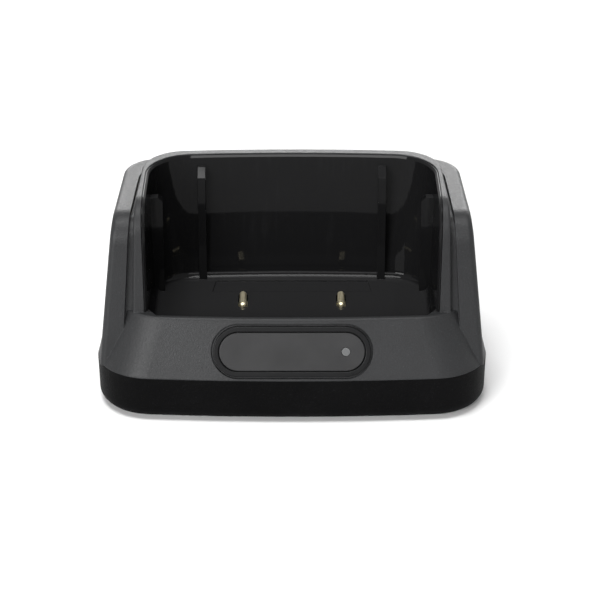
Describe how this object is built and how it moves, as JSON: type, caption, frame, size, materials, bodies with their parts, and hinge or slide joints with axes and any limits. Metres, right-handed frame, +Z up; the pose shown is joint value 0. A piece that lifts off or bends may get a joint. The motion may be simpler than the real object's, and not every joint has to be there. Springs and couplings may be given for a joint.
{
  "type": "radio charging cradle",
  "caption": "Desktop charging cradle: a black moulded base with a raised U-shaped wall round a glossy pocket that seats a hand-held radio on sprung contacts.",
  "frame": {"origin": "middle of the footprint, on the desk under the rubber feet", "axes": "+X to the right across the front, +Y to the back, +Z up; the lip, badge and lamp face -Y"},
  "size_m": [0.0986, 0.0601, 0.0543],
  "materials": {
    "housing_plastic": "fine spark-eroded texture, black",
    "liner_plastic": "polished black",
    "badge_plastic": "satin dark grey, blank",
    "light_pipe": "frosted grey, translucent",
    "led": "pale package",
    "board": "green solder mask",
    "block_plastic": "moulded black",
    "contact_gold": "gold plated",
    "spring_steel": "drawn wire",
    "component_plastic": "moulded component body",
    "can_aluminium": "plain can",
    "screw_steel": "zinc plated",
    "foot_rubber": "matte black"
  },
  "bodies": {
    "cradle": {"lower_housing": "housing_plastic", "upper_housing": "housing_plastic", "pocket_liner": "liner_plastic", "badge_bezel": "badge_plastic", "nameplate": "badge_plastic", "light_pipe": "light_pipe", "status_led": "led", "circuit_board": "board", "contact_block": "block_plastic", "contact_spring_left": "spring_steel", "contact_spring_right": "spring_steel", "contact_pads": "contact_gold", "charge_chip": "component_plastic", "inductor": "component_plastic", "capacitor": "can_aluminium", "chip_resistors": "component_plastic", "dc_jack": "component_plastic", "dc_jack_pin": "contact_gold", "housing_screws": "screw_steel", "board_screws": "screw_steel", "foot_front_left": "foot_rubber", "foot_front_right": "foot_rubber", "foot_back_left": "foot_rubber", "foot_back_right": "foot_rubber"},
    "contact_left": {"contact_left": "contact_gold"},
    "contact_right": {"contact_right": "contact_gold"}
  },
  "joints": [
    {"name": "contact_left_press", "type": "slide", "parent": "cradle", "child": "contact_left", "axis": [0, 0, -1], "range_m": [0, 0.0012], "stiffness_N_per_m": 600, "springref_m": -0.001, "deforming": ["contact_spring_left"]},
    {"name": "contact_right_press", "type": "slide", "parent": "cradle", "child": "contact_right", "axis": [0, 0, -1], "range_m": [0, 0.0012], "stiffness_N_per_m": 600, "springref_m": -0.001, "deforming": ["contact_spring_right"]}
  ]
}
